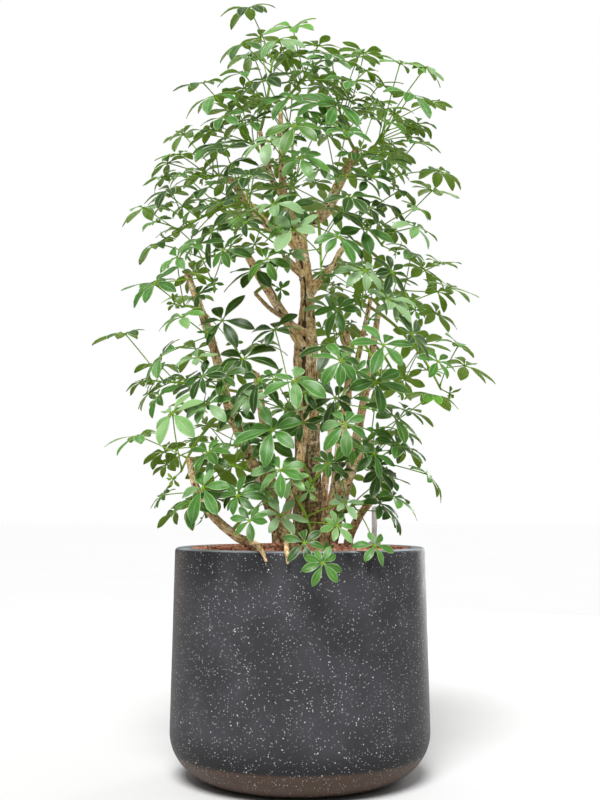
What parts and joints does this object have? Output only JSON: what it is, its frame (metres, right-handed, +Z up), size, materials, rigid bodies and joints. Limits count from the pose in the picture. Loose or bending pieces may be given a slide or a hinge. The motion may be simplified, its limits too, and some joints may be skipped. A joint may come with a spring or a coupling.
{
  "type": "potted umbrella plant",
  "caption": "Bushy dwarf umbrella plant with woody stems and palmate leaves, in a round dark speckled planter filled with clay granules.",
  "frame": {"origin": "middle of the planter's flat underside", "axes": "+Z up along the planter's axis, -Y to the front, the side that the picture shows"},
  "size_m": [0.8062, 0.7191, 1.5208],
  "materials": {
    "planter": "satin charcoal composite with white specks",
    "granules": "rough fired clay granules",
    "gauge_clear": "clear tube, slightly frosted",
    "gauge_grey": "matte light grey",
    "gauge_red": "red float",
    "bark": "rough tan bark with leaf scars",
    "foliage": "living leaves, leathery with a soft sheen"
  },
  "bodies": {
    "root": {"back_left_stem": "bark", "back_right_stem": "bark", "dark_stem": "bark", "front_fork_stem": "bark", "gauge_collar": "gauge_grey", "gauge_float": "gauge_red", "gauge_tube": "gauge_clear", "granule_bed": "granules", "leafy_shoot_01": "foliage", "leafy_shoot_02": "foliage", "leafy_shoot_03": "foliage", "leafy_shoot_04": "foliage", "leafy_shoot_05": "foliage", "leafy_shoot_06": "foliage", "leafy_shoot_07": "foliage", "leafy_shoot_08": "foliage", "leafy_shoot_09": "foliage", "leafy_shoot_10": "foliage", "leafy_shoot_11": "foliage", "leafy_shoot_12": "foliage", "leafy_shoot_13": "foliage", "leafy_shoot_14": "foliage", "leafy_shoot_15": "foliage", "leafy_shoot_16": "foliage", "leafy_shoot_17": "foliage", "leafy_shoot_18": "foliage", "leafy_shoot_19": "foliage", "leafy_shoot_20": "foliage", "leafy_shoot_21": "foliage", "leafy_shoot_22": "foliage", "leafy_shoot_23": "foliage", "leafy_shoot_24": "foliage", "leafy_shoot_25": "foliage", "leafy_shoot_26": "foliage", "leafy_shoot_27": "foliage", "leafy_shoot_28": "foliage", "leafy_shoot_29": "foliage", "leafy_shoot_30": "foliage", "leafy_shoot_31": "foliage", "leafy_shoot_32": "foliage", "leafy_shoot_33": "foliage", "leafy_shoot_34": "foliage", "leafy_shoot_35": "foliage", "leafy_shoot_36": "foliage", "leafy_shoot_37": "foliage", "leafy_shoot_38": "foliage", "leafy_shoot_39": "foliage", "leafy_shoot_40": "foliage", "leafy_shoot_41": "foliage", "leafy_shoot_42": "foliage", "leafy_shoot_43": "foliage", "leafy_shoot_44": "foliage", "leafy_shoot_45": "foliage", "leafy_shoot_46": "foliage", "leafy_shoot_47": "foliage", "low_left_stem": "bark", "planter": "planter", "right_cut_stem": "bark", "right_fork_stem": "bark", "trunk": "bark"}
  },
  "joints": []
}
